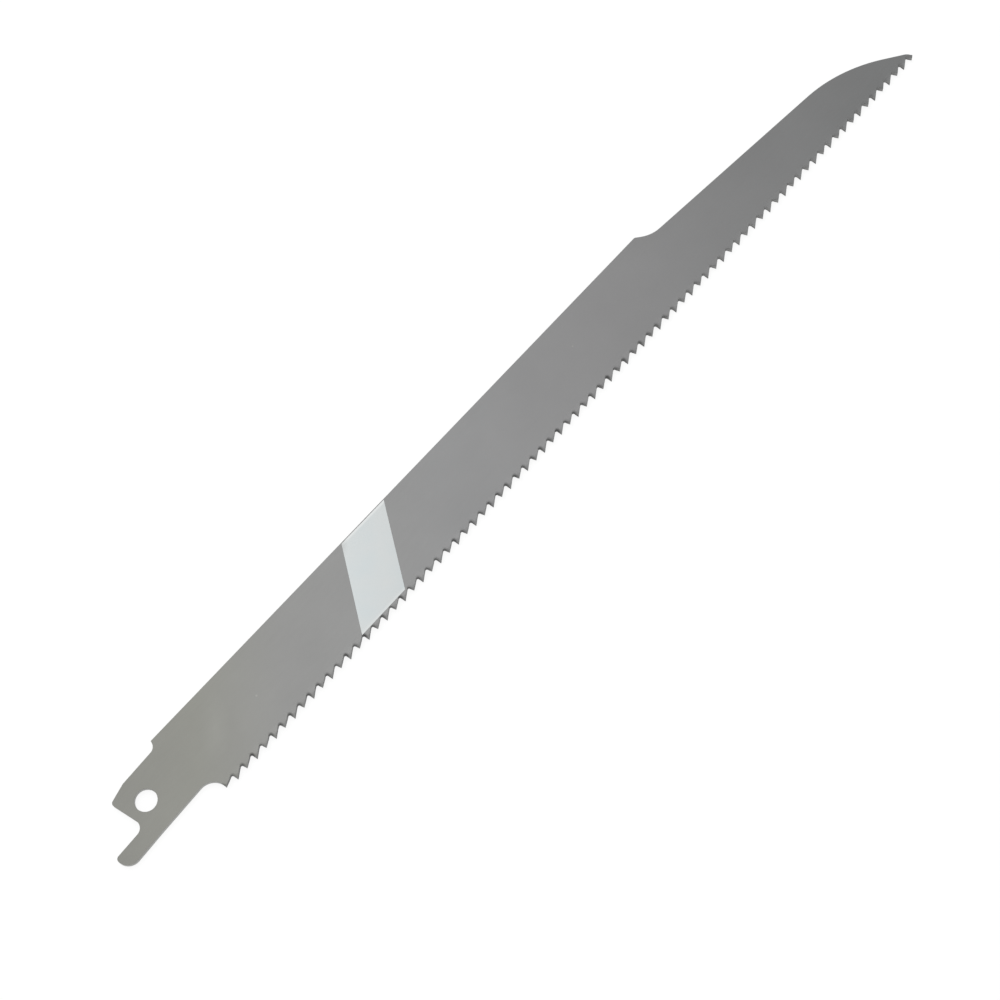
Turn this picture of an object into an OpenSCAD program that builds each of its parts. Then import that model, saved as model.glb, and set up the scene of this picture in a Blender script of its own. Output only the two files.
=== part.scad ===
// Reciprocating saw blade for wood: one flat steel strip with a hooked tang,
// a stepped spine, a curved nose and a full row of teeth set to alternate sides.
// Millimetres. X runs from the tang to the nose, Y from the teeth to the spine
// and Z out of the printed face. The origin is the centre of the tang's hole,
// at half the strip's thickness.

/* [Steel strip] */
// Thickness of the strip
strip_t = 1; // [0.8:0.05:1.3]
// Height from the tooth tips to the straight spine
blade_w = 17; // [16:0.25:19]

/* [Teeth] */
// Number of teeth
tooth_count = 83; // [79:1:90]
// Distance from one tip to the next
tooth_pitch = 2.5; // [2.4:0.05:2.7]
// Depth of the gullets, from the tip line
tooth_depth = 1.2; // [1.1:0.05:1.4]
// Lean of the cutting faces, from square to the tip line towards the tang
face_lean = 10; // [0:1:15]
// Radius at the bottom of each gullet
gullet_r = 0.28; // [0.2:0.02:0.32]
// Width of the flat on each tip
tip_flat = 0.06; // [0.02:0.02:0.12]
// How far each tip is bent sideways out of the strip's middle plane
tip_set = 0.3; // [0.1:0.02:0.34]
// Height of the bent part of each tooth
set_height = 0.84; // [0.7:0.02:0.88]
// How far the first tip, at the heel, stands back from the tip line
heel_tip_back = 0.4; // [0:0.05:0.5]

/* [Tang] */
// Diameter of the hole for the saw's pin
hole_d = 4.3; // [4.1:0.05:4.6]
// Distance from the hole's centre to the first tooth tip, along the blade
hole_to_teeth = 11.25; // [10.5:0.25:14]
// Height of the hole's centre above the tip line
hole_height = 9.75; // [9.25:0.25:10.5]
// Angle of the tang to the tip line
tang_cant = 2.5; // [0:0.5:4]
// Distance from the hole's centre to the tang's upper edge
tang_above_hole = 5.4; // [5:0.1:5.8]
// Distance from the hole's centre to the tang's lower edge
tang_below_hole = 6.3; // [5.9:0.1:6.6]
// Distance from the hole's centre to the hook's end face, at the hook's root
hook_reach = 3.65; // [3.3:0.05:4.2]
// Lean of the hook's end face away from the blade
hook_lean = 6.5; // [0:0.5:10]
// Angle of the slanted edge on top of the hook
hook_top_slant = 12; // [8:1:20]
// How far that edge falls towards the hook's tip
hook_top_drop = 0.88; // [0.4:0.02:1]
// Distance from the hole's centre to the end of the tail
tail_reach = 11.25; // [10:0.25:13]
// Width of the tail where it leaves the hook
tail_root_w = 3.2; // [2.8:0.1:3.6]
// Width of the tail near its round end
tail_end_w = 3.35; // [3:0.05:3.8]
// Distance from the hole's centre to where the tail's lower edge starts to slope
tail_slope_reach = 2.65; // [1.5:0.05:3.5]
// Length of the shoulder, from the spine's end to the first tooth tip
shoulder_to_teeth = 2.95; // [1.5:0.05:5]
// Lean of the shoulder's edge, from square to the spine towards the hook
shoulder_lean = 14; // [0:1:20]

/* [Spine and nose] */
// Distance from the first tooth tip to the step in the spine
step_at = 134.95; // [100:0.05:150]
// Height of the step
step_drop = 2.3; // [1.4:0.1:3]
// Slope of the step's flank
step_slope = 41; // [30:1:60]
// Slope of the spine beyond the step
spine_slope = 4.6; // [3:0.1:4.8]
// Slope of the nose's straight edge
nose_slope = 36; // [30:1:42]
// Radius of the curve between the spine and the nose's edge
nose_r = 34; // [20:1:36]
// Distance from the last tooth tip to the nose's end
nose_beyond_teeth = 0.75; // [0.5:0.05:1]
// Height of the nose's end above the tip line
nose_end_h = 1.2; // [1.2:0.05:1.6]

/* [Corner radii] */
// Arc from the tang down to the first tooth
heel_r = 3.1; // [2:0.1:3.3]
// Fillet between the tang and the shoulder
shoulder_fillet_r = 1.6; // [0.8:0.05:1.7]
// Corner at the shoulder's end of the spine
shoulder_corner_r = 0.2; // [0.1:0.05:0.3]
// Fillet between the hook and the tail
notch_r = 1.7; // [1:0.05:1.9]
// Tip of the hook
hook_tip_r = 0.75; // [0.4:0.05:1]
// Upper corner of the tail's end
tail_top_r = 0.75; // [0.5:0.05:1]
// Lower corner of the tail's end
tail_low_r = 2.45; // [1.6:0.05:2.5]
// Fillet at the foot of the step
step_foot_r = 7; // [3:0.25:8]
// Corner at the top of the step
step_top_r = 0.5; // [0.2:0.05:1]
// Corner at the end of the nose
nose_end_r = 2.25; // [1.75:0.1:2.35]

/* [Printed band] */
// Distance from the first tooth tip to the band's lower corner
band_at = 37.1; // [20:0.1:90]
// Length of the band along the blade
band_w = 11.85; // [6:0.05:20]
// Lean of the band's sides from square, towards the nose
band_lean = 35; // [0:1:45]
// Bare margin between the band and the spine
band_spine_margin = 0.2; // [0.1:0.05:1]
// Bare margin between the band and the gullets
band_gullet_margin = 0.05; // [0.02:0.01:0.3]
// Thickness of the ink
ink_t = 0.03; // [0.02:0.01:0.06]

/* [Hidden] */
$fn = 96;

// How far each arc's circle reaches past the lines that it joins, so that it crosses them
arc_overlap = 0.003;
// Share of an edge that the arcs at its two ends may take before they give way
arc_share = 0.98;
// How far a cutting shape runs past what it cuts
spare = 1;

// Heights and places that several features share
tip_y = -hole_height;
spine_y = tip_y + blade_w;
bend_y = tip_y + set_height;
first_x = hole_to_teeth;
last_x = first_x + (tooth_count - 1) * tooth_pitch;
nose_x = last_x + nose_beyond_teeth;
shoulder_x = first_x - shoulder_to_teeth;

// One gullet, from its own tooth's tip: the arc at its bottom joins the
// back of that tooth to the cutting face of the next
flank_r = gullet_r - arc_overlap;
arc_place = [
    tooth_pitch - (tooth_depth - gullet_r) * tan(face_lean) - flank_r / cos(face_lean),
    tooth_depth - gullet_r
];
face_touch = arc_place + flank_r * [cos(face_lean), sin(face_lean)];

// Start of a tooth's back: the heel tooth's tip is set back from the tip line
function tip_back(k) = k == 0 ? heel_tip_back : 0;
function tooth_x(k) = first_x + k * tooth_pitch;

// A point given along and across the canted tang, turned into the blade's frame
function on_tang(x, y) =
    [x * cos(tang_cant) - y * sin(tang_cant), x * sin(tang_cant) + y * cos(tang_cant)];

// Height of the tang's edge, h from the hole across the tang, at a place x along the blade
function tang_edge_y(h, x) = x * tan(tang_cant) + h / cos(tang_cant);

// Geometry of a corner [x, y, radius] in a closed list of corners
function unit(v) = v / norm(v);
function ring(list, i) = list[(i + len(list)) % len(list)];
function place(corner) = [corner.x, corner.y];
function edge(list, i, step) = place(ring(list, i + step)) - place(ring(list, i));
function arm(list, i, step) = unit(edge(list, i, step));
function half_angle(list, i) = acos(arm(list, i, -1) * arm(list, i, 1)) / 2;
function inward(list, i) = unit(arm(list, i, -1) + arm(list, i, 1));

// Length that a corner's arc wants of its edges, the part of that which an edge has
// room for, and the radius that both edges have room for
function wanted(list, i) = ring(list, i)[2] / tan(half_angle(list, i));
function room(list, i, step) =
    arc_share * norm(edge(list, i, step)) / (wanted(list, i) + wanted(list, i + step));
function arc_r(list, i) = list[i][2] * min(1, room(list, i, -1), room(list, i, 1));

// The same radius less the overlap, where its circle would touch the edges
function seat_r(list, i) = arc_r(list, i) - arc_overlap;
function touch(list, i, step) =
    place(list[i]) + arm(list, i, step) * seat_r(list, i) / tan(half_angle(list, i));
function arc_center(list, i) =
    place(list[i]) + inward(list, i) * seat_r(list, i) / sin(half_angle(list, i));
function is_hollow(list, i) = cross(arm(list, i, -1), arm(list, i, 1)) > 0;

// The piece of a corner's disc between its arc and the line that cuts the corner
// off, reaching a little past that line
module corner_segment(list, i) {
    past_line = 0.15;
    r = arc_r(list, i);
    turn = atan2(-inward(list, i).y, -inward(list, i).x);
    line_at = seat_r(list, i) * sin(half_angle(list, i)) - past_line;
    translate(arc_center(list, i))
        intersection() {
            circle(r = r);
            rotate(turn)
                translate([line_at, -r - spare])
                    square([r + spare, 2 * (r + spare)]);
        }
}

// A closed outline, counterclockwise, with each corner rounded to its own radius
module rounded_outline(list) {
    last = len(list) - 1;
    difference() {
        union() {
            polygon([
                for (i = [0:last])
                    each list[i][2] > 0 ? [touch(list, i, -1), touch(list, i, 1)] : [place(list[i])]
            ]);
            for (i = [0:last])
                if (list[i][2] > 0 && !is_hollow(list, i))
                    corner_segment(list, i);
        }
        for (i = [0:last])
            if (list[i][2] > 0 && is_hollow(list, i))
                corner_segment(list, i);
    }
}

// Corners of the tang, round from the shoulder to the heel
shoulder_rise = spine_y - tang_edge_y(tang_above_hole, 0);
shoulder_foot_x = (shoulder_x - shoulder_rise * tan(shoulder_lean))
    / (1 - tan(shoulder_lean) * tan(tang_cant));
hook_root = on_tang(-hook_reach, -tang_below_hole + tail_root_w);
hook_rise = tang_above_hole + tang_below_hole - tail_root_w;
hook_x = -hook_reach - (hook_rise - hook_top_drop) * tan(hook_lean);
hook_tip = on_tang(hook_x, tang_above_hole - hook_top_drop);
hook_top = on_tang(hook_x + hook_top_drop / tan(hook_top_slant), tang_above_hole);
tail_kink = on_tang(-tail_slope_reach, -tang_below_hole);
tail_low = on_tang(-tail_reach, -tang_below_hole + tail_root_w - tail_end_w);
tail_top = on_tang(-tail_reach, -tang_below_hole + tail_root_w);

// Corners of the stepped spine and the nose
step_x = first_x + step_at;
foot_x = step_x + step_drop / tan(step_slope);
foot_y = spine_y - step_drop;
nose_y = tip_y + nose_end_h;
nose_turn_x = (foot_y - nose_y + foot_x * tan(spine_slope) - nose_x * tan(nose_slope))
    / (tan(spine_slope) - tan(nose_slope));
nose_turn_y = nose_y + (nose_x - nose_turn_x) * tan(nose_slope);

// The blade's outline before its gullets are cut
blank_corners = [
    [first_x, tip_y, 0],
    [nose_x, tip_y, 0],
    [nose_x, nose_y, nose_end_r],
    [nose_turn_x, nose_turn_y, nose_r],
    [foot_x, foot_y, step_foot_r],
    [step_x, spine_y, step_top_r],
    [shoulder_x, spine_y, shoulder_corner_r],
    [shoulder_foot_x, tang_edge_y(tang_above_hole, shoulder_foot_x), shoulder_fillet_r],
    [hook_top.x, hook_top.y, 0],
    [hook_tip.x, hook_tip.y, hook_tip_r],
    [hook_root.x, hook_root.y, notch_r],
    [tail_top.x, tail_top.y, tail_top_r],
    [tail_low.x, tail_low.y, tail_low_r],
    [tail_kink.x, tail_kink.y, 0],
    [first_x, tang_edge_y(-tang_below_hole, first_x), heel_r]
];

// The opening between tooth k and the next, down past the tip line
module gullet(k) {
    start = [tip_flat, tip_back(k)];
    reach = arc_place - start;
    slope = atan2(reach.y, reach.x) + asin(flank_r / norm(reach));
    translate([tooth_x(k), tip_y]) {
        polygon([
            start - spare * [1 / tan(slope), 1],
            [tooth_pitch + spare * tan(face_lean), -spare],
            face_touch,
            arc_place + flank_r * [-sin(slope), cos(slope)]
        ]);
        translate(arc_place)
            circle(r = gullet_r);
    }
}

// The blade seen square to its face, with all its teeth
module profile() {
    difference() {
        rounded_outline(blank_corners);
        for (k = [0:tooth_count - 1])
            gullet(k);
    }
}

// Every second tooth below the bend line, starting from the given one
module tooth_tips(from) {
    intersection() {
        profile();
        for (k = [from:2:tooth_count - 1])
            translate([tooth_x(k - 1) + arc_place.x, tip_y + tip_back(k)])
                square([tooth_pitch, set_height - tip_back(k)]);
    }
}

// Section of the strip below the bend line, leaning out to one side
module leaning_section(side) {
    low_y = tip_y - spare;
    lean = side * tip_set * (set_height + spare) / set_height;
    translate([first_x - spare, 0, 0])
        rotate([90, 0, 90])
            linear_extrude(nose_x - first_x + 2 * spare)
                polygon([
                    [bend_y, -strip_t / 2],
                    [bend_y, strip_t / 2],
                    [low_y, strip_t / 2 + lean],
                    [low_y, -strip_t / 2 + lean]
                ]);
}

// Every second tooth's tip, starting from the given one, bent to one side
module set_teeth(from, side) {
    depth = strip_t + 2 * (tip_set + spare);
    intersection() {
        translate([0, 0, -depth / 2])
            linear_extrude(depth)
                tooth_tips(from);
        leaning_section(side);
    }
}

// The blade: one piece of steel
module blade() {
    color([0.57, 0.58, 0.56]) {
        difference() {
            translate([0, 0, -strip_t / 2])
                linear_extrude(strip_t)
                    difference() {
                        profile();
                        translate([first_x - spare, tip_y - spare])
                            square([nose_x - first_x + 2 * spare, set_height + spare]);
                    }
            translate([0, 0, -strip_t])
                cylinder(d = hole_d, h = 2 * strip_t);
        }
        set_teeth(0, 1);
        set_teeth(1, -1);
    }
}

// The plain slanted band of white ink on the shown face
module print_band() {
    low_y = tip_y + tooth_depth + band_gullet_margin;
    high_y = spine_y - band_spine_margin;
    lean_x = (high_y - low_y) * tan(band_lean);
    low_x = first_x + band_at;
    color([0.83, 0.85, 0.85])
        translate([0, 0, strip_t / 2])
            linear_extrude(ink_t)
                polygon([
                    [low_x, low_y],
                    [low_x + band_w, low_y],
                    [low_x + band_w + lean_x, high_y],
                    [low_x + lean_x, high_y]
                ]);
}

blade();
print_band();
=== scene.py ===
"""Reciprocating saw blade: a flat steel strip with a hooked tang, set teeth and a slanted white band."""

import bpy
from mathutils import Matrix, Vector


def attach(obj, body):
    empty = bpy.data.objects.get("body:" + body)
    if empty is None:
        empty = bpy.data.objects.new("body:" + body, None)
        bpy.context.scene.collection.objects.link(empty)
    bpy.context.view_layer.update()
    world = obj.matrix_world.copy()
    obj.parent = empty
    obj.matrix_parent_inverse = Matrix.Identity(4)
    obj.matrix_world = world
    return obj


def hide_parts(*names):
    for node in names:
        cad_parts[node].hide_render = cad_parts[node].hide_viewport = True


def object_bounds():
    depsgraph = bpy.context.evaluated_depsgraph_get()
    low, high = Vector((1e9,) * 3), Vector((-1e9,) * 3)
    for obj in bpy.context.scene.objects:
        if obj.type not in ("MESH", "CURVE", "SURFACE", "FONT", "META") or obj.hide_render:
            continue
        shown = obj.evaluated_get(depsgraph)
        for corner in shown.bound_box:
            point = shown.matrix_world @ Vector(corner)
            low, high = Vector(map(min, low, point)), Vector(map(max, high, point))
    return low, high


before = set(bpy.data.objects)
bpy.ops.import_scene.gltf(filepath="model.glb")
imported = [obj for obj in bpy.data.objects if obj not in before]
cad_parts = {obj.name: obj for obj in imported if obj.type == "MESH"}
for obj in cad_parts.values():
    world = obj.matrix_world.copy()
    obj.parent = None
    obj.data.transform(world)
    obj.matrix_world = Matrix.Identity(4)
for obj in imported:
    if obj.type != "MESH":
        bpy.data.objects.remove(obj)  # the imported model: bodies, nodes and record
cad_box = [list(corner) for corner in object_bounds()]

import math

import bmesh
import bpy
from mathutils import Matrix, Vector

MM = 0.001

# Sizes of the blade, in millimetres
STRIP_T = 1.0
BLADE_W = 17.0
TOOTH_COUNT = 83
TOOTH_PITCH = 2.5
TOOTH_DEPTH = 1.2
FACE_LEAN = math.radians(10)
GULLET_R = 0.28
TIP_FLAT = 0.06
TIP_SET = 0.3
SET_HEIGHT = 0.84
HEEL_TIP_BACK = 0.4
HOLE_R = 2.15
HOLE_TO_TEETH = 11.25
HOLE_HEIGHT = 9.75
TANG_CANT = math.radians(2.5)
TANG_ABOVE_HOLE = 5.4
TANG_BELOW_HOLE = 6.3
HOOK_REACH = 3.65
HOOK_LEAN = math.radians(6.5)
HOOK_TOP_SLANT = math.radians(12)
HOOK_TOP_DROP = 0.88
TAIL_REACH = 11.25
TAIL_ROOT_W = 3.2
TAIL_END_W = 3.35
TAIL_SLOPE_REACH = 2.65
SHOULDER_TO_TEETH = 2.95
SHOULDER_LEAN = math.radians(14)
STEP_AT = 134.95
STEP_DROP = 2.3
STEP_SLOPE = math.radians(41)
SPINE_SLOPE = math.radians(4.6)
NOSE_SLOPE = math.radians(36)
NOSE_R = 34.0
NOSE_BEYOND_TEETH = 0.75
NOSE_END_H = 1.2
HEEL_R = 3.1
SHOULDER_FILLET_R = 1.6
SHOULDER_CORNER_R = 0.2
NOTCH_R = 1.7
HOOK_TIP_R = 0.75
TAIL_TOP_R = 0.75
TAIL_LOW_R = 2.45
STEP_FOOT_R = 7.0
STEP_TOP_R = 0.5
NOSE_END_R = 2.25
BAND_AT = 37.1
BAND_W = 11.85
BAND_LEAN = math.radians(35)
BAND_SPINE_MARGIN = 0.2
BAND_GULLET_MARGIN = 0.05
INK_T = 0.03

TIP_Y = -HOLE_HEIGHT
SPINE_Y = TIP_Y + BLADE_W
BEND_Y = TIP_Y + SET_HEIGHT
NOSE_X = HOLE_TO_TEETH + (TOOTH_COUNT - 1) * TOOTH_PITCH + NOSE_BEYOND_TEETH

# The tooth row that the node tree repeats stands in a strip of this height
ROW_H = 1.7
# Width of the small bevel along every edge of the steel
EDGE = 0.035
# Points closer than this become one
MERGE = 0.002 * MM
# Turn between two points of an arc: small corners, wide curves, the hole and the gullets
ARC_STEP = math.radians(6)
WIDE_ARC_STEP = math.radians(1)
WIDE_R = 20.0
HOLE_STEP = math.radians(5)
GULLET_STEP = math.radians(20)


# Plane geometry
def turned(angle):
    """The unit vector at an angle."""
    return Vector((math.cos(angle), math.sin(angle)))


def arc(centre, radius, start, end, step=ARC_STEP):
    """Points on an arc from one angle to another, both ends included."""
    count = max(2, math.ceil(abs(end - start) / step))
    return [centre + radius * turned(start + (end - start) * i / count) for i in range(count + 1)]


def rounded(corners):
    """Points of a counterclockwise run of corners (x, y, radius); both end corners stay as they are."""
    points = [Vector(corners[0][:2])]
    for before, (x, y, radius), after in zip(corners, corners[1:], corners[2:]):
        corner = Vector((x, y))
        if not radius:
            points.append(corner)
            continue
        back = (Vector(before[:2]) - corner).normalized()
        ahead = (Vector(after[:2]) - corner).normalized()
        half = back.angle(ahead) / 2
        centre = corner + (back + ahead).normalized() * radius / math.sin(half)
        start = corner + back * radius / math.tan(half) - centre
        end = corner + ahead * radius / math.tan(half) - centre
        start_angle = math.atan2(start.y, start.x)
        sweep = (math.atan2(end.y, end.x) - start_angle + math.pi) % (2 * math.pi) - math.pi
        step = ARC_STEP if radius < WIDE_R else WIDE_ARC_STEP
        points += arc(centre, radius, start_angle, start_angle + sweep, step)
    return points + [Vector(corners[-1][:2])]


def inset(points, first_normal, last_normal, width):
    """The run moved to its left by width, with mitred corners."""
    normals = []
    for a, b in zip(points, points[1:]):
        along = (b - a).normalized()
        normals.append(Vector((-along.y, along.x)))
    normals = [first_normal] + normals + [last_normal]
    moved = []
    for point, n1, n2 in zip(points, normals, normals[1:]):
        moved.append(point + (n1 + n2) * width / (1 + n1.dot(n2)))
    moved[0] = points[0] + first_normal * width
    moved[-1] = points[-1] + last_normal * width
    return moved


def tooth_x(k):
    """Where the tip of tooth k is, counted from the heel."""
    return HOLE_TO_TEETH + k * TOOTH_PITCH


def on_tang(x, y):
    """A place measured along and across the canted tang, in the blade's own frame."""
    cos, sin = math.cos(TANG_CANT), math.sin(TANG_CANT)
    return (x * cos - y * sin, x * sin + y * cos)


def tang_edge_y(h, x):
    """Height at x of the line that runs along the tang, h above its hole."""
    return x * math.tan(TANG_CANT) + h / math.cos(TANG_CANT)


# One tooth
GULLET_AT = Vector(
    (
        TOOTH_PITCH - (TOOTH_DEPTH - GULLET_R) * math.tan(FACE_LEAN) - GULLET_R / math.cos(FACE_LEAN),
        TOOTH_DEPTH - GULLET_R,
    )
)


def back_slope(start):
    """Slope of a tooth's back, which leaves start and touches the gullet's arc."""
    reach = GULLET_AT - start
    return math.atan2(reach.y, reach.x) + math.asin(GULLET_R / reach.length)


def tooth_front(x):
    """From the bottom of the gullet before a tooth down its cutting face to the bend line."""
    middle = Vector((x - TOOTH_PITCH, TIP_Y)) + GULLET_AT
    top = Vector((x - SET_HEIGHT * math.tan(FACE_LEAN), BEND_Y))
    return arc(middle, GULLET_R, math.pi / 2, FACE_LEAN, GULLET_STEP) + [top]


def tooth_back(x, tip_back=0.0):
    """From the bend line up a tooth's back to the bottom of its own gullet."""
    start = Vector((TIP_FLAT, tip_back))
    slope = back_slope(start)
    foot = Vector((x + TIP_FLAT + (SET_HEIGHT - tip_back) / math.tan(slope), BEND_Y))
    middle = Vector((x, TIP_Y)) + GULLET_AT
    return [foot] + arc(middle, GULLET_R, math.pi / 2 + slope, math.pi / 2, GULLET_STEP)


UP = Vector((0, 1))
# Heights of the strip's upper and lower face
FACES_Z = (STRIP_T / 2, -STRIP_T / 2)


# Plate meshes
class Plate:
    """Builds a flat plate with bevelled edges from runs of its outline."""

    def __init__(self):
        self.bm = bmesh.new()

    def vert(self, point, z):
        return self.bm.verts.new((point.x * MM, point.y * MM, z * MM))

    def edge_run(self, points, first_normal, last_normal, bend=()):
        """Walls and bevels along a run; returns its points on the upper and on the lower face."""
        inner = inset(points, first_normal, last_normal, EDGE)
        for i in bend:  # a point on the bend line stays on it
            ahead = (points[min(i + 1, len(points) - 1)] - points[max(i - 1, 0)]).normalized()
            inner[i] = inner[i] + ahead * (points[i].y - inner[i].y) / ahead.y
        half = STRIP_T / 2
        rows = [
            [self.vert(p, half) for p in inner],
            [self.vert(p, half - EDGE) for p in points],
            [self.vert(p, EDGE - half) for p in points],
            [self.vert(p, -half) for p in inner],
        ]
        for upper, lower in zip(rows, rows[1:]):
            for i in range(len(points) - 1):
                self.bm.faces.new((upper[i], lower[i], lower[i + 1], upper[i + 1]))
        return rows[0], rows[3]

    def face(self, loop):
        self.bm.faces.new(loop)

    def fill(self, loops):
        """Fills the area between an outer loop and its holes."""
        edges = []
        for loop in loops:
            for a, b in zip(loop, loop[1:] + loop[:1]):
                edges.append(self.bm.edges.get((a, b)) or self.bm.edges.new((a, b)))
        bmesh.ops.triangle_fill(self.bm, use_beauty=True, edges=edges)

    def finished(self, name):
        bmesh.ops.remove_doubles(self.bm, verts=self.bm.verts, dist=MERGE)
        mesh = bpy.data.meshes.new(name)
        self.bm.to_mesh(mesh)
        self.bm.free()
        thing = bpy.data.objects.new(name, mesh)
        bpy.context.scene.collection.objects.link(thing)
        return thing


def tooth_cell():
    """One tooth with half the gullet on each side of it, its tip at x = 0, in the blade's own heights."""
    plate = Plate()
    front, back = tooth_front(0), tooth_back(0)
    run = front + [Vector((0, TIP_Y)), Vector((TIP_FLAT, TIP_Y))] + back
    a, b = len(front) - 1, len(front) + 2
    for row, z in zip(plate.edge_run(run, UP, UP, bend=(a, b)), FACES_Z):
        plate.face(row[a : b + 1])
        top = TIP_Y + ROW_H
        corners = [plate.vert(Vector((run[i].x, top)), z) for i in (-1, 0)]
        plate.fill([row[: a + 1] + row[b:] + corners])
    return plate.finished("tooth_cell")


def shoulder_foot_x():
    """Where the leaning shoulder meets the tang's upper edge."""
    top_x = HOLE_TO_TEETH - SHOULDER_TO_TEETH
    rise = SPINE_Y - tang_edge_y(TANG_ABOVE_HOLE, 0)
    return (top_x - rise * math.tan(SHOULDER_LEAN)) / (1 - math.tan(SHOULDER_LEAN) * math.tan(TANG_CANT))


def tang_corners():
    """Corners (x, y, radius) from the shoulder round the hook and the tail to the heel."""
    foot_x = shoulder_foot_x()
    root_y = TAIL_ROOT_W - TANG_BELOW_HOLE
    hook_x = -HOOK_REACH - (TANG_ABOVE_HOLE - root_y - HOOK_TOP_DROP) * math.tan(HOOK_LEAN)
    hook_top_x = hook_x + HOOK_TOP_DROP / math.tan(HOOK_TOP_SLANT)
    return [
        (HOLE_TO_TEETH - SHOULDER_TO_TEETH, SPINE_Y, SHOULDER_CORNER_R),
        (foot_x, tang_edge_y(TANG_ABOVE_HOLE, foot_x), SHOULDER_FILLET_R),
        (*on_tang(hook_top_x, TANG_ABOVE_HOLE), 0),
        (*on_tang(hook_x, TANG_ABOVE_HOLE - HOOK_TOP_DROP), HOOK_TIP_R),
        (*on_tang(-HOOK_REACH, root_y), NOTCH_R),
        (*on_tang(-TAIL_REACH, root_y), TAIL_TOP_R),
        (*on_tang(-TAIL_REACH, root_y - TAIL_END_W), TAIL_LOW_R),
        (*on_tang(-TAIL_SLOPE_REACH, -TANG_BELOW_HOLE), 0),
        (HOLE_TO_TEETH, tang_edge_y(-TANG_BELOW_HOLE, HOLE_TO_TEETH), HEEL_R),
    ]


def nose_corners():
    """Corners (x, y, radius) from below the nose's end up and back to the top of the step."""
    step_x = HOLE_TO_TEETH + STEP_AT
    foot = Vector((step_x + STEP_DROP / math.tan(STEP_SLOPE), SPINE_Y - STEP_DROP))
    nose_y = TIP_Y + NOSE_END_H
    turn_x = (foot.y - nose_y + foot.x * math.tan(SPINE_SLOPE) - NOSE_X * math.tan(NOSE_SLOPE)) / (
        math.tan(SPINE_SLOPE) - math.tan(NOSE_SLOPE)
    )
    return [
        (NOSE_X, TIP_Y, 0),
        (NOSE_X, nose_y, NOSE_END_R),
        (turn_x, nose_y + (NOSE_X - turn_x) * math.tan(NOSE_SLOPE), NOSE_R),
        (foot.x, foot.y, STEP_FOOT_R),
        (step_x, SPINE_Y, STEP_TOP_R),
    ]


def cut_where(points, height, rising):
    """Adds the point where a run first passes through height zero, and gives its place in the run."""
    for i, (a, b) in enumerate(zip(points, points[1:])):
        low, high = height(a), height(b)
        if (low < 0 < high) if rising else (low > 0 > high):
            points.insert(i + 1, a + (b - a) * low / (low - high))
            return i + 1


def blade_body():
    """The strip with its heel and nose teeth; the teeth between them are left to the node tree."""
    plate = Plate()
    last_x = tooth_x(TOOTH_COUNT - 1)
    last_slope = math.tan(back_slope(Vector((TIP_FLAT, 0))))
    around = rounded([*nose_corners(), *tang_corners(), (HOLE_TO_TEETH, TIP_Y + HEEL_TIP_BACK, 0)])

    # the nose starts where the last tooth's back meets its arc; both end teeth are cut at the bend line
    start = cut_where(around, lambda p: p.y - TIP_Y - (p.x - last_x - TIP_FLAT) * last_slope, rising=True)
    around = around[start:]
    nose_bend = cut_where(around, lambda p: p.y - BEND_Y, rising=True)
    heel_bend = cut_where(around, lambda p: p.y - BEND_Y if p.x > 0 else 1.0, rising=False)

    front = tooth_front(last_x)
    heel = tooth_back(HOLE_TO_TEETH, HEEL_TIP_BACK)
    run = front + [Vector((last_x, TIP_Y)), Vector((last_x + TIP_FLAT, TIP_Y))]
    nose_tip = (len(front) - 1, len(run) + nose_bend)
    heel_tip = (len(run) + heel_bend, len(run) + len(around) + 1)
    run += around + [Vector((HOLE_TO_TEETH + TIP_FLAT, TIP_Y + HEEL_TIP_BACK))] + heel
    rows = plate.edge_run(run, UP, UP, bend=(*nose_tip, *heel_tip))

    hole = arc(Vector((0, 0)), HOLE_R, 2 * math.pi, 0, HOLE_STEP)
    hole_rows = plate.edge_run(hole, Vector((1, 0)), Vector((1, 0)))

    for row, hole_row, z in zip(rows, hole_rows, FACES_Z):
        for a, b in (nose_tip, heel_tip):
            plate.face(row[a : b + 1])
        seam = [
            plate.vert(Vector((tooth_x(k) + GULLET_AT.x, TIP_Y + ROW_H)), z)
            for k in range(TOOTH_COUNT - 1)
        ]
        outer = row[: nose_tip[0] + 1] + row[nose_tip[1] : heel_tip[0] + 1] + row[heel_tip[1] :]
        plate.fill([outer + seam, hole_row[:-1]])
    return plate.finished("blade_body")


# Node helpers
def place_node(tree, kind, inputs=None, **settings):
    """Adds a node, sets its properties and links or sets its inputs."""
    node = tree.nodes.new(kind)
    for name, value in settings.items():
        setattr(node, name, value)
    for key, value in (inputs or {}).items():
        if isinstance(value, bpy.types.NodeSocket):
            tree.links.new(value, node.inputs[key])
        else:
            node.inputs[key].default_value = value
    return node


def maths(tree, operation, a, b=0.0, clamp=False):
    return place_node(tree, "ShaderNodeMath", {0: a, 1: b}, operation=operation, use_clamp=clamp).outputs[0]


def new_group(name, kind, inputs, outputs):
    tree = bpy.data.node_groups.new(name, kind)
    for label, socket, value in inputs:
        item = tree.interface.new_socket(label, in_out="INPUT", socket_type=socket)
        if value is not None:
            item.default_value = value
    for label, socket in outputs:
        tree.interface.new_socket(label, in_out="OUTPUT", socket_type=socket)
    return tree, tree.nodes.new("NodeGroupInput"), tree.nodes.new("NodeGroupOutput")


FLOAT, GEOMETRY = "NodeSocketFloat", "NodeSocketGeometry"


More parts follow.
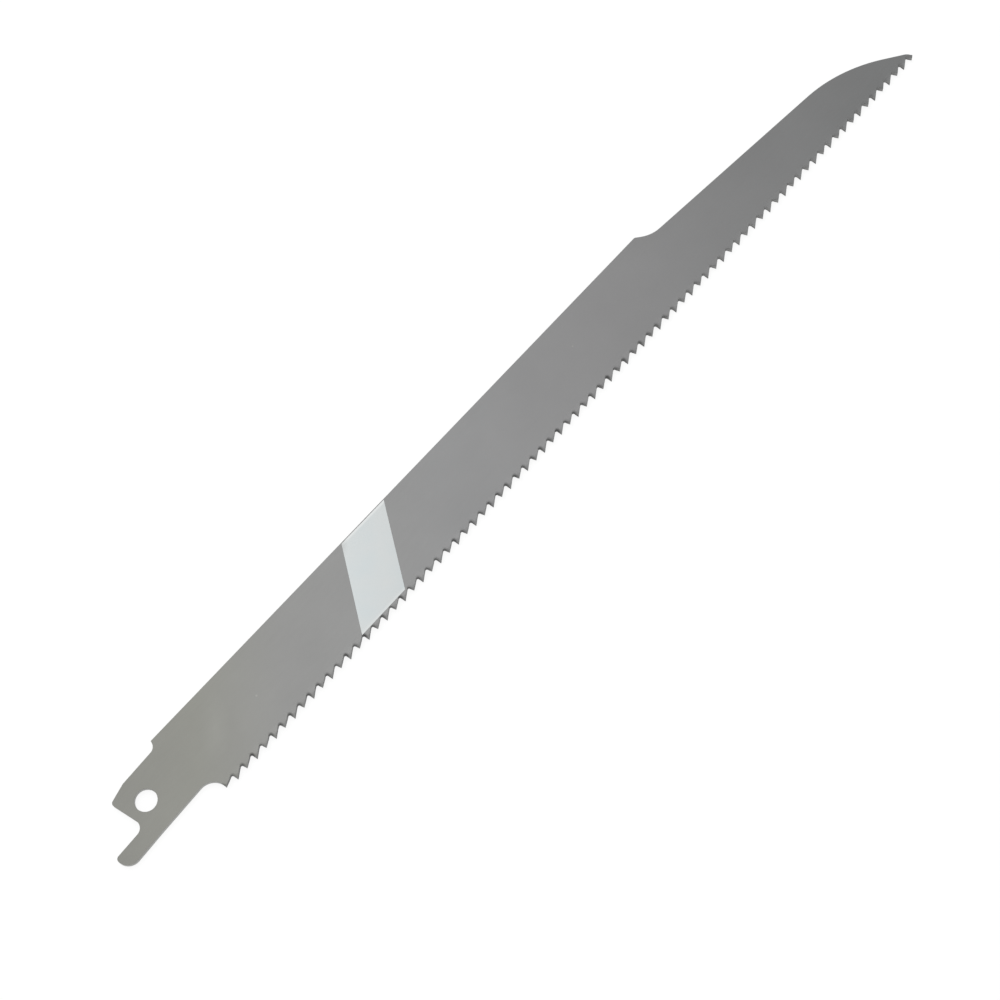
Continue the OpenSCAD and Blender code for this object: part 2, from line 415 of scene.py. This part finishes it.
# The tooth row, as a node tree
def bend_group():
    """Leans everything below the bend line out to one side."""
    tree, given, out = new_group(
        "bend_tips",
        "GeometryNodeTree",
        [
            ("Geometry", GEOMETRY, None),
            ("Side", FLOAT, 1.0),
            ("Tip Set", FLOAT, 0.0),
            ("Bend Line", FLOAT, 0.0),
            ("Bent Height", FLOAT, 1.0),
        ],
        [("Geometry", GEOMETRY)],
    )
    place = tree.nodes.new("GeometryNodeInputPosition")
    split = place_node(tree, "ShaderNodeSeparateXYZ", {0: place.outputs[0]})
    below = maths(tree, "SUBTRACT", given.outputs["Bend Line"], split.outputs["Y"])
    share = maths(tree, "DIVIDE", below, given.outputs["Bent Height"], clamp=True)
    reach = maths(tree, "MULTIPLY", share, given.outputs["Tip Set"])
    aside = maths(tree, "MULTIPLY", reach, given.outputs["Side"])
    offset = place_node(tree, "ShaderNodeCombineXYZ", {"Z": aside})
    moved = place_node(
        tree, "GeometryNodeSetPosition", {"Geometry": given.outputs["Geometry"], "Offset": offset.outputs[0]}
    )
    tree.links.new(moved.outputs[0], out.inputs[0])
    return tree


def tooth_row_tree():
    """Repeats one tooth along the blade, bent to either side in turn, and joins the row to the body."""
    tree, given, out = new_group(
        "tooth_row",
        "GeometryNodeTree",
        [
            ("Tooth", GEOMETRY, None),
            ("Tooth Count", "NodeSocketInt", 1),
            ("Tooth Pitch", FLOAT, 0.0),
            ("First Tip", FLOAT, 0.0),
            ("Tip Set", FLOAT, 0.0),
            ("Bend Line", FLOAT, 0.0),
            ("Bent Height", FLOAT, 1.0),
            ("Body", "NodeSocketObject", None),
            ("Steel", "NodeSocketMaterial", None),
        ],
        [("Blade", GEOMETRY)],
    )
    bend = bend_group()

    def bent(geometry, side):
        return place_node(
            tree,
            "GeometryNodeGroup",
            {
                "Geometry": geometry,
                "Side": side,
                "Tip Set": given.outputs["Tip Set"],
                "Bend Line": given.outputs["Bend Line"],
                "Bent Height": given.outputs["Bent Height"],
            },
            node_tree=bend,
        ).outputs[0]

    start = place_node(tree, "ShaderNodeCombineXYZ", {"X": given.outputs["First Tip"]})
    pitch = place_node(tree, "ShaderNodeCombineXYZ", {"X": given.outputs["Tooth Pitch"]})
    tips = place_node(
        tree,
        "GeometryNodeMeshLine",
        {
            "Count": given.outputs["Tooth Count"],
            "Start Location": start.outputs[0],
            "Offset": pitch.outputs[0],
        },
        mode="OFFSET",
    )
    index = tree.nodes.new("GeometryNodeInputIndex")
    odd = maths(tree, "MODULO", index.outputs[0], 2.0)
    even = maths(tree, "SUBTRACT", 1.0, odd)
    join = tree.nodes.new("GeometryNodeJoinGeometry")
    for chosen, side in ((even, -1.0), (odd, 1.0)):
        row = place_node(
            tree,
            "GeometryNodeInstanceOnPoints",
            {
                "Points": tips.outputs[0],
                "Selection": chosen,
                "Instance": bent(given.outputs["Tooth"], side),
            },
        )
        tree.links.new(row.outputs[0], join.inputs[0])
    body = place_node(tree, "GeometryNodeObjectInfo", {"Object": given.outputs["Body"]})
    tree.links.new(bent(body.outputs["Geometry"], 1.0), join.inputs[0])
    real = place_node(tree, "GeometryNodeRealizeInstances", {0: join.outputs[0]})
    steel = place_node(
        tree, "GeometryNodeSetMaterial", {"Geometry": real.outputs[0], "Material": given.outputs["Steel"]}
    )
    tree.links.new(steel.outputs[0], out.inputs[0])
    return tree


def grown(thing, tree, values):
    """Runs a node tree on an object with the given named inputs and returns the result as a plain object."""
    modifier = thing.modifiers.new("grow", "NODES")
    modifier.node_group = tree
    names = {item.name: item.identifier for item in tree.interface.items_tree if item.in_out == "INPUT"}
    for name, value in values.items():
        modifier[names[name]] = value
    bpy.context.view_layer.update()
    evaluated = thing.evaluated_get(bpy.context.evaluated_depsgraph_get())
    mesh = bpy.data.meshes.new_from_object(evaluated)
    thing.modifiers.remove(modifier)
    return mesh


def smooth_walls(mesh, angle):
    """Round walls shade smoothly; every edge sharper than the angle stays crisp."""
    mesh.polygons.foreach_set("use_smooth", [True] * len(mesh.polygons))
    mesh.set_sharp_from_angle(angle=angle)
    mesh.update()


# Finishes
# Octaves of the noises, and how rough the grain's lines and its clouds are
NOISE_DETAIL = 3.0
LINE_NOISE = 0.6
CLOUD_NOISE = 0.5
# The clouds' noise stays mostly within this range
CLOUD_RANGE = (0.3, 0.7)


def grain_group():
    """Fine grain drawn out along the blade, and faint clouds: both are values round one half."""
    tree, given, out = new_group(
        "drawn_grain",
        "ShaderNodeTree",
        [("Lines per Metre", FLOAT, None), ("Stretch", FLOAT, None), ("Clouds per Metre", FLOAT, None)],
        [("Grain", FLOAT), ("Clouds", FLOAT)],
    )
    place = tree.nodes.new("ShaderNodeTexCoord")
    split = place_node(tree, "ShaderNodeSeparateXYZ", {0: place.outputs["Object"]})
    along = maths(tree, "MULTIPLY", split.outputs["X"], given.outputs["Stretch"])
    drawn = place_node(
        tree, "ShaderNodeCombineXYZ", {"X": along, "Y": split.outputs["Y"], "Z": split.outputs["Z"]}
    )
    for output, vector, scale, roughness in (
        ("Grain", drawn.outputs[0], "Lines per Metre", LINE_NOISE),
        ("Clouds", place.outputs["Object"], "Clouds per Metre", CLOUD_NOISE),
    ):
        noise = place_node(
            tree,
            "ShaderNodeTexNoise",
            {
                "Vector": vector,
                "Scale": given.outputs[scale],
                "Detail": NOISE_DETAIL,
                "Roughness": roughness,
            },
        )
        tree.links.new(noise.outputs[0], out.inputs[output])
    return tree


def speck_group():
    """Sparse specks: a mask that is 1 in each speck."""
    tree, given, out = new_group(
        "specks",
        "ShaderNodeTree",
        [("Specks per Metre", FLOAT, None), ("Speck Size", FLOAT, None), ("Share", FLOAT, None)],
        [("Mask", FLOAT)],
    )
    place = tree.nodes.new("ShaderNodeTexCoord")
    cells = place_node(
        tree,
        "ShaderNodeTexVoronoi",
        {"Vector": place.outputs["Object"], "Scale": given.outputs["Specks per Metre"]},
    )
    near = maths(tree, "LESS_THAN", cells.outputs["Distance"], given.outputs["Speck Size"])
    pick = place_node(tree, "ShaderNodeSeparateColor", {0: cells.outputs["Color"]})
    chosen = maths(tree, "LESS_THAN", pick.outputs[0], given.outputs["Share"])
    tree.links.new(maths(tree, "MULTIPLY", near, chosen), out.inputs["Mask"])
    return tree


def new_material(name, colour):
    material = bpy.data.materials.new(name)
    material.use_nodes = True
    material.diffuse_color = (*colour, 1)
    tree = material.node_tree
    return material, tree, tree.nodes["Principled BSDF"]


def mixed(tree, share, a, b, blend="MIX"):
    """Mixes two colours by a share from 0 to 1."""
    node = place_node(tree, "ShaderNodeMix", data_type="RGBA", blend_type=blend)
    for socket, value in ((node.inputs[0], share), (node.inputs[6], a), (node.inputs[7], b)):
        if isinstance(value, bpy.types.NodeSocket):
            tree.links.new(value, socket)
        else:
            socket.default_value = value if isinstance(value, float) else (*value, 1.0)
    return node.outputs[2]


def ramp(tree, value, stops):
    """A colour that changes along a value, from stops (place, colour)."""
    node = place_node(tree, "ShaderNodeValToRGB", {0: value})
    steps = node.color_ramp.elements
    while len(steps) < len(stops):
        steps.new(0.5)
    for step, (at, colour) in zip(steps, stops):
        step.position = at
        step.color = (*colour, 1)
    return node.outputs[0]


def remap(tree, value, start, end, low=0.0, high=1.0):
    """Maps a value from start..end to low..high and holds it there."""
    inputs = {"Value": value, "From Min": start, "From Max": end, "To Min": low, "To Max": high}
    return place_node(tree, "ShaderNodeMapRange", inputs).outputs[0]


def bump(tree, height, strength, distance):
    node = place_node(tree, "ShaderNodeBump", {"Height": height, "Strength": strength, "Distance": distance})
    return node.outputs[0]


def scaled(tree, colour, gain):
    """A colour made lighter or darker by a value."""
    grey = place_node(tree, "ShaderNodeCombineColor", {0: gain, 1: gain, 2: gain}).outputs[0]
    return mixed(tree, 1.0, colour, grey, "MULTIPLY")


GRAIN = grain_group()
SPECKS = speck_group()

# The steel's grain: its lines to a metre across the blade, what is left of that along it, and its clouds
STEEL_GRAIN = {"Lines per Metre": 9000.0, "Stretch": 0.04, "Clouds per Metre": 60.0}
# Light specks: how many places for them to a metre, their size in that spacing, and the share that shows
STEEL_SPECKS = {"Specks per Metre": 260.0, "Speck Size": 0.05, "Share": 0.06}
# How much the grain and the clouds lighten and darken the face
GRAIN_GAINS = (0.92, 1.08)
CLOUD_GAINS = (0.97, 1.03)
STEEL_ROUGHNESS = (0.42, 0.56)
STEEL_METALLIC = 0.85
# Strength and depth, in metres, of the grain's bumps
STEEL_BUMP = (0.12, 0.00002)
# Colours of the steel's face from the tang's end to the nose, as shares of the length: the olive near
# the tang is the steel's own tint, the darkening towards the nose is painted shade of the light falling off
FACE_TINT_AND_SHADE_STOPS = [
    (0.00, (0.239, 0.239, 0.221)),
    (0.10, (0.247, 0.248, 0.226)),
    (0.20, (0.256, 0.256, 0.251)),
    (0.40, (0.253, 0.254, 0.255)),
    (0.60, (0.247, 0.246, 0.247)),
    (1.00, (0.229, 0.232, 0.232)),
]
# The colours change across lines slanted by this much: towards the teeth they run ahead
TONE_SLANT = 0.9
# Colour of the light specks
FACE_SPECK = (0.31, 0.31, 0.295)
# A patch a little brighter near the tang: its middle, half sizes, slant and gain
PATCH_AT = (HOLE_TO_TEETH + 6.5, TIP_Y + 9.5)
PATCH_HALF = (7.5, 2.8)
PATCH_TURN = math.radians(48)
PATCH_GAIN = 1.07
# Walls away from the teeth
WALL_STEEL = (0.38, 0.38, 0.365)
# Painted shade on the walls of the teeth, darker from the tips up to the gullets' bottoms:
# along the blade, and near the nose
TOOTH_WALL_SHADE_STOPS = [
    (0.0, (0.215, 0.215, 0.211)),
    (0.5, (0.165, 0.165, 0.162)),
    (1.0, (0.155, 0.155, 0.152)),
]
NOSE_WALL_SHADE_STOPS = [
    (0.0, (0.290, 0.290, 0.286)),
    (0.8, (0.310, 0.310, 0.306)),
    (1.0, (0.225, 0.225, 0.222)),
]
# Painted shade at the root of each cutting face, down in the gullet: its middle from the tip, its half
# sizes, the share of them that is its core, its depth on the teeth bent to the shown face and on those bent
# away, how uneven it is, and its strength by shares of the tooth row
ROOT_SHADE_AT = (-0.22, 0.8)
ROOT_SHADE_HALF = (0.56, 0.72)
ROOT_SHADE_CORE = 0.3
ROOT_SHADE_NEAR, ROOT_SHADE_AWAY = 0.52, 0.72
ROOT_SHADE_SPREAD = (0.45, 1.3)
ROOT_SHADE_STRENGTH = [(0.0, 1.0), (0.14, 1.0), (0.22, 0.75), (0.58, 0.75), (0.68, 0.1), (0.86, 0.1), (0.94, 0.2)]
# Painted shade at the foot of the teeth's walls: how dark they are at the lower face,
# and the height where that has faded out
WALL_FOOT_SHADE = 0.5
WALL_FOOT_SHADE_TOP = STRIP_T / 10
# Painted highlight on the faces that lean from square towards the teeth, as the bent tips do:
# how much brighter they are at their full lean
TIP_PAINTED_HIGHLIGHT = 1.45
# A surface turns from face to wall as the upright part of its normal falls through this range
FACE_TO_WALL = (0.75, 0.25)
# The tooth walls' painted shade fades in between these heights above the tips,
# and these distances past the heel
TOOTH_WALLS_UP_TO = (1.6, 1.3)
TOOTH_WALLS_FROM = (-1.0, 0.5)
# Where the walls of the teeth begin to lighten towards the nose, and where they end to
LIGHTER_FROM = HOLE_TO_TEETH + 85.0
LIGHTER_TO = HOLE_TO_TEETH + 150.0


def oval(tree, x, y, half_x, half_y, core):
    """A soft oval: 1 within its core, a share of its half sizes, and 0 outside it."""
    across = maths(tree, "DIVIDE", x, half_x)
    upward = maths(tree, "DIVIDE", y, half_y)
    squares = maths(tree, "ADD", maths(tree, "POWER", across, 2.0), maths(tree, "POWER", upward, 2.0))
    return remap(tree, maths(tree, "SQRT", squares), core, 1.0, 1.0, 0.0)


def root_painted_shade(tree, x, y):
    """How dark the painted shade is at the root of each cutting face, uneven from tooth to tooth."""
    steps = maths(tree, "DIVIDE", maths(tree, "SUBTRACT", x, HOLE_TO_TEETH * MM), TOOTH_PITCH * MM)
    tooth = maths(tree, "ROUND", steps)
    from_tip = maths(tree, "MULTIPLY", maths(tree, "SUBTRACT", steps, tooth), TOOTH_PITCH)
    height = maths(tree, "SUBTRACT", maths(tree, "DIVIDE", y, MM), TIP_Y + ROOT_SHADE_AT[1])
    spot = oval(tree, maths(tree, "SUBTRACT", from_tip, ROOT_SHADE_AT[0]), height, *ROOT_SHADE_HALF, ROOT_SHADE_CORE)

    odd = maths(tree, "ABSOLUTE", maths(tree, "MODULO", tooth, 2.0))
    depth = remap(tree, odd, 0.0, 1.0, ROOT_SHADE_NEAR, ROOT_SHADE_AWAY)
    chance = place_node(tree, "ShaderNodeTexWhiteNoise", {"W": tooth}, noise_dimensions="1D").outputs[0]
    depth = maths(tree, "MULTIPLY", depth, remap(tree, chance, 0.0, 1.0, *ROOT_SHADE_SPREAD))
    row_share = maths(tree, "DIVIDE", steps, TOOTH_COUNT - 1.0)
    strength = ramp(tree, row_share, [(at, (value, value, value)) for at, value in ROOT_SHADE_STRENGTH])
    return maths(tree, "MULTIPLY", maths(tree, "MULTIPLY", spot, depth), strength)


def brighter_patch(tree, x, y):
    """The oval where the face is a little brighter."""
    right = maths(tree, "SUBTRACT", x, PATCH_AT[0] * MM)
    up = maths(tree, "SUBTRACT", y, PATCH_AT[1] * MM)
    cos, sin = math.cos(PATCH_TURN), math.sin(PATCH_TURN)
    along = maths(tree, "ADD", maths(tree, "MULTIPLY", right, cos), maths(tree, "MULTIPLY", up, sin))
    aside = maths(tree, "SUBTRACT", maths(tree, "MULTIPLY", up, cos), maths(tree, "MULTIPLY", right, sin))
    return oval(tree, along, aside, PATCH_HALF[0] * MM, PATCH_HALF[1] * MM, 0.0)


def face_colour(tree, x, y, lean, grain):
    """The flat faces: a tone that changes along the blade, grain, clouds, specks, a brighter patch and a
    painted highlight on the bent tips.
    """
    specks = place_node(tree, "ShaderNodeGroup", STEEL_SPECKS, node_tree=SPECKS)
    middle_y = (TIP_Y + SPINE_Y) / 2 * MM
    ahead = maths(tree, "MULTIPLY", maths(tree, "SUBTRACT", y, middle_y), TONE_SLANT)
    slanted = maths(tree, "SUBTRACT", x, ahead)
    plain = ramp(tree, remap(tree, slanted, cad_box[0][0], cad_box[1][0]), FACE_TINT_AND_SHADE_STOPS)
    lines = remap(tree, grain.outputs["Grain"], 0.0, 1.0, *GRAIN_GAINS)
    clouds = remap(tree, grain.outputs["Clouds"], *CLOUD_RANGE, *CLOUD_GAINS)
    face = scaled(tree, plain, maths(tree, "MULTIPLY", lines, clouds))
    face = mixed(tree, specks.outputs["Mask"], face, FACE_SPECK)

    # faces that lean towards the teeth, as the bent tips do, get a painted highlight
    full_lean = -math.sin(math.atan(TIP_SET / SET_HEIGHT))
    painted_highlight = remap(tree, lean, 0.0, full_lean, 1.0, TIP_PAINTED_HIGHLIGHT)
    patch_brightening = remap(tree, brighter_patch(tree, x, y), 0.0, 1.0, 1.0, PATCH_GAIN)
    return scaled(tree, face, maths(tree, "MULTIPLY", painted_highlight, patch_brightening))


def wall_colour(tree, x, y, z):
    """The walls: plain round the blade, and along the teeth with painted shade darkening them up into the
    gullets and towards the lower face.
    """
    depth = remap(tree, y, TIP_Y * MM, (TIP_Y + TOOTH_DEPTH) * MM)
    shaded_tooth_wall = mixed(
        tree,
        remap(tree, x, LIGHTER_FROM * MM, LIGHTER_TO * MM),
        ramp(tree, depth, TOOTH_WALL_SHADE_STOPS),
        ramp(tree, depth, NOSE_WALL_SHADE_STOPS),
    )
    # painted shade at the foot of the tooth walls, near the lower face
    foot = remap(tree, z, -STRIP_T / 2 * MM, WALL_FOOT_SHADE_TOP * MM, WALL_FOOT_SHADE, 1.0)
    shaded_tooth_wall = scaled(tree, shaded_tooth_wall, foot)
    low = remap(tree, y, *[(TIP_Y + height) * MM for height in TOOTH_WALLS_UP_TO])
    past_heel = remap(tree, x, *[(HOLE_TO_TEETH + distance) * MM for distance in TOOTH_WALLS_FROM])
    return mixed(tree, maths(tree, "MULTIPLY", low, past_heel), WALL_STEEL, shaded_tooth_wall)


def steel():
    """Satin rolled steel, a little olive near the tang, with painted shade on the tooth walls and at the
    roots of the cutting faces.
    """
    material, tree, shader = new_material("satin_steel", FACE_TINT_AND_SHADE_STOPS[1][1])
    place = tree.nodes.new("ShaderNodeTexCoord")
    split = place_node(tree, "ShaderNodeSeparateXYZ", {0: place.outputs["Object"]})
    x, y, z = split.outputs
    normal = place_node(tree, "ShaderNodeSeparateXYZ", {0: place.outputs["Normal"]})
    grain = place_node(tree, "ShaderNodeGroup", STEEL_GRAIN, node_tree=GRAIN)

    face = face_colour(tree, x, y, normal.outputs["Y"], grain)
    wall = remap(tree, maths(tree, "ABSOLUTE", normal.outputs["Z"]), *FACE_TO_WALL)
    colour = mixed(tree, wall, face, wall_colour(tree, x, y, z))
    # painted shade at the roots of the cutting faces, down in the gullets
    colour = scaled(tree, colour, maths(tree, "SUBTRACT", 1.0, root_painted_shade(tree, x, y)))

    tree.links.new(colour, shader.inputs["Base Color"])
    roughness = remap(tree, grain.outputs["Grain"], 0.0, 1.0, *STEEL_ROUGHNESS)
    tree.links.new(roughness, shader.inputs["Roughness"])
    tree.links.new(bump(tree, grain.outputs["Grain"], *STEEL_BUMP), shader.inputs["Normal"])
    shader.inputs["Metallic"].default_value = STEEL_METALLIC
    return material


# The ink's own colours, and the painted highlight along its rim
INK_TONES = ((0.715, 0.770, 0.780), (0.750, 0.780, 0.778))
INK_RIM_HIGHLIGHT = (0.88, 0.905, 0.90)
# The rim's painted highlight comes in from the first to the second of these distances from the upper
# and the lower edge, and only in part at the lower one
RIM_START, RIM_FULL = 0.6, 0.2
LOW_RIM_HIGHLIGHT = 0.45
# It fades a little across the band, and its upper left corner is worn thin
ACROSS_GAINS = (1.02, 0.975)
WORN_INK = (0.52, 0.54, 0.53)
WORN_HALF = (1.6, 2.4)
WORN_SHARE = 0.55
# The ink's grain is the same both ways
INK_GRAIN = {"Lines per Metre": 5000.0, "Stretch": 1.0, "Clouds per Metre": 180.0}
INK_ROUGHNESS = (0.42, 0.6)
# Strength and depth, in metres, of the ink's bumps
INK_BUMP = (0.15, 0.00003)
BAND_LOW_Y = TIP_Y + TOOTH_DEPTH + BAND_GULLET_MARGIN
BAND_HIGH_Y = SPINE_Y - BAND_SPINE_MARGIN


def ink():
    """White screen-printed ink, a little blue-green, with a painted highlight along its rim."""
    material, tree, shader = new_material("band_ink", INK_TONES[0])
    place = tree.nodes.new("ShaderNodeTexCoord")
    split = place_node(tree, "ShaderNodeSeparateXYZ", {0: place.outputs["Object"]})
    grain = place_node(tree, "ShaderNodeGroup", INK_GRAIN, node_tree=GRAIN)

    # the distance from the band's left edge, measured along the blade
    rise = maths(tree, "SUBTRACT", split.outputs["Y"], BAND_LOW_Y * MM)
    lean = maths(tree, "MULTIPLY", rise, math.tan(BAND_LEAN))
    straight = maths(tree, "SUBTRACT", split.outputs["X"], lean)
    across = maths(tree, "SUBTRACT", straight, (HOLE_TO_TEETH + BAND_AT) * MM)
    below_top = maths(tree, "SUBTRACT", BAND_HIGH_Y * MM, split.outputs["Y"])
    top_rim = remap(tree, below_top, RIM_START * MM, RIM_FULL * MM)
    low_rim = remap(tree, rise, RIM_START * MM, RIM_FULL * MM, 0.0, LOW_RIM_HIGHLIGHT)
    rim_highlight = maths(tree, "MAXIMUM", top_rim, low_rim)
    worn = oval(tree, across, below_top, WORN_HALF[0] * MM, WORN_HALF[1] * MM, 0.0)

    plain = mixed(tree, remap(tree, grain.outputs["Clouds"], *CLOUD_RANGE), *INK_TONES)
    plain = scaled(tree, plain, remap(tree, across, 0.0, BAND_W * MM, *ACROSS_GAINS))
    # painted highlight along the band's upper and lower rim
    sound = mixed(tree, rim_highlight, plain, INK_RIM_HIGHLIGHT)
    colour = mixed(tree, maths(tree, "MULTIPLY", worn, WORN_SHARE), sound, WORN_INK)
    tree.links.new(colour, shader.inputs["Base Color"])
    roughness = remap(tree, grain.outputs["Grain"], 0.0, 1.0, *INK_ROUGHNESS)
    tree.links.new(roughness, shader.inputs["Roughness"])
    tree.links.new(bump(tree, grain.outputs["Grain"], *INK_BUMP), shader.inputs["Normal"])
    return material


def added(name, data):
    """Puts a mesh, a lamp or a camera into the scene as an object."""
    thing = bpy.data.objects.new(name, data)
    bpy.context.scene.collection.objects.link(thing)
    return thing


# The blade
# Edges of the steel that turn by more than this stay crisp
STEEL_CRISP = math.radians(35)


def steel_blade():
    """The body with its row of teeth, as one closed mesh."""
    cell = tooth_cell()
    body = blade_body()
    mesh = grown(
        cell,
        tooth_row_tree(),
        {
            "Tooth Count": TOOTH_COUNT - 2,
            "Tooth Pitch": TOOTH_PITCH * MM,
            "First Tip": tooth_x(1) * MM,
            "Tip Set": TIP_SET * MM,
            "Bend Line": BEND_Y * MM,
            "Bent Height": SET_HEIGHT * MM,
            "Body": body,
            "Steel": steel(),
        },
    )
    for used in (cell, body):
        bpy.data.objects.remove(used)
    whole = bmesh.new()
    whole.from_mesh(mesh)
    bmesh.ops.remove_doubles(whole, verts=whole.verts, dist=MERGE)
    bmesh.ops.recalc_face_normals(whole, faces=whole.faces)
    whole.to_mesh(mesh)
    whole.free()
    smooth_walls(mesh, STEEL_CRISP)
    mesh.name = "steel_blade"
    return added("steel_blade", mesh)


blade = steel_blade()
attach(blade, "root")
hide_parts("blade")

# The printed band
# Rings of its rounded rim: how far in from the edge, and the share of the ink's thickness
INK_RINGS = ((0.0, 0.0), (0.0, 0.5), (0.03, 0.85), (0.08, 1.0))
# Edges of the ink that turn by more than this stay crisp
INK_CRISP = math.radians(50)


def ink_band():
    """A thin skin of ink with a rounded rim, on the shown face."""
    lean = (BAND_HIGH_Y - BAND_LOW_Y) * math.tan(BAND_LEAN)
    low_x = HOLE_TO_TEETH + BAND_AT
    corners = [
        Vector((low_x, BAND_LOW_Y)),
        Vector((low_x + BAND_W, BAND_LOW_Y)),
        Vector((low_x + BAND_W + lean, BAND_HIGH_Y)),
        Vector((low_x + lean, BAND_HIGH_Y)),
    ]
    bm = bmesh.new()
    foot = STRIP_T / 2
    rings = []
    for width, height in INK_RINGS:
        closed = [corners[-1]] + corners + [corners[0]]
        moved = inset(closed, UP, UP, width)[1:-1]
        rings.append([bm.verts.new((p.x * MM, p.y * MM, (foot + height * INK_T) * MM)) for p in moved])
    for low, high in zip(rings, rings[1:]):
        for i in range(len(corners)):
            j = (i + 1) % len(corners)
            bm.faces.new((low[i], low[j], high[j], high[i]))
    bm.faces.new(rings[-1])
    bm.faces.new(list(reversed(rings[0])))
    bmesh.ops.recalc_face_normals(bm, faces=bm.faces)
    made = bpy.data.meshes.new("ink_band")
    bm.to_mesh(made)
    bm.free()
    made.materials.append(ink())
    smooth_walls(made, INK_CRISP)
    return added("ink_band", made)


band = ink_band()
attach(band, "root")
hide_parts("print_band")

# Floor, light and camera
# Half the floor's width, in metres: low views see paper almost to the horizon
FLOOR_HALF = 40.0
# The paper's own grey, the strength at which the camera sees it, and the share of that in its look
PAPER_GREY = (0.9, 0.9, 0.9, 1)
PAPER_WHITE = 1.09
PAPER_GLOW = 0.8
SKY_STRENGTH = 0.6

# The lamp's place, aim and width in metres, and its watts
SOFTBOX_PLACE = (0.125, 0.24, 0.65)
SOFTBOX_AIM = (0.06, 0.0, 0.0)
SOFTBOX_SIZE = 0.6
SOFTBOX_POWER = 1.6

# Where the camera stands, what it looks at and which way is up in the picture
CAMERA_PLACE = Vector((-11.089, -121.306, 331.258)) * MM
CAMERA_AIM = Vector((85.345, -10.093, 0.5)) * MM
PICTURE_UP = Vector((0.70306, 0.58648, 0.40218))
LENS = 68.4
SENSOR_W = 36.0
CAMERA_CLIP = (0.01, 120.0)


def white_paper():
    """White paper that looks evenly white to the camera and in reflections, and keeps the shadow."""
    paper = bpy.data.materials.new("white_floor")
    paper.use_nodes = True
    tree = paper.node_tree
    tree.nodes.clear()
    path = tree.nodes.new("ShaderNodeLightPath")
    seen = maths(tree, "ADD", path.outputs["Is Camera Ray"], path.outputs["Is Glossy Ray"])
    seen = maths(tree, "ADD", seen, path.outputs["Is Transmission Ray"], clamp=True)
    plain = place_node(tree, "ShaderNodeBsdfDiffuse", {"Color": PAPER_GREY})
    glow = place_node(tree, "ShaderNodeEmission", {"Color": (1, 1, 1, 1), "Strength": PAPER_WHITE})
    surface = place_node(
        tree,
        "ShaderNodeMixShader",
        {0: maths(tree, "MULTIPLY", seen, PAPER_GLOW), 1: plain.outputs[0], 2: glow.outputs[0]},
    )
    end = tree.nodes.new("ShaderNodeOutputMaterial")
    tree.links.new(surface.outputs[0], end.inputs[0])
    return paper


def paper_floor():
    """A flat floor at the height of the lowest tips."""
    mesh = bpy.data.meshes.new("floor")
    height = cad_box[0][2]
    signs = ((-1, -1), (1, -1), (1, 1), (-1, 1))
    mesh.from_pydata([(x * FLOOR_HALF, y * FLOOR_HALF, height) for x, y in signs], [], [(0, 1, 2, 3)])
    mesh.materials.append(white_paper())
    return added("floor", mesh)


def studio_light():
    """An even white sky and one large soft lamp above the spine's side."""
    world = bpy.data.worlds.new("soft_studio")
    bpy.context.scene.world = world
    world.use_nodes = True
    sky = world.node_tree.nodes["Background"]
    sky.inputs["Color"].default_value = (1, 1, 1, 1)
    sky.inputs["Strength"].default_value = SKY_STRENGTH

    data = bpy.data.lights.new("key_softbox", "AREA")
    data.shape = "SQUARE"
    data.size = SOFTBOX_SIZE
    data.energy = SOFTBOX_POWER
    lamp = added("key_softbox", data)
    lamp.location = SOFTBOX_PLACE
    towards = Vector(SOFTBOX_AIM) - Vector(SOFTBOX_PLACE)
    lamp.rotation_euler = towards.to_track_quat("-Z", "Y").to_euler()


def photo_camera():
    """The camera at the photograph's angle."""
    camera = added("camera", bpy.data.cameras.new("camera"))
    camera.data.lens = LENS
    camera.data.sensor_width = SENSOR_W
    camera.data.clip_start, camera.data.clip_end = CAMERA_CLIP
    back = (CAMERA_PLACE - CAMERA_AIM).normalized()
    right = PICTURE_UP.cross(back).normalized()
    turn = Matrix((right, back.cross(right), back)).transposed().to_4x4()
    camera.matrix_world = Matrix.Translation(CAMERA_PLACE) @ turn
    return camera


paper_floor()
studio_light()
bpy.context.scene.camera = photo_camera()
bpy.context.scene.view_settings.view_transform = "Standard"
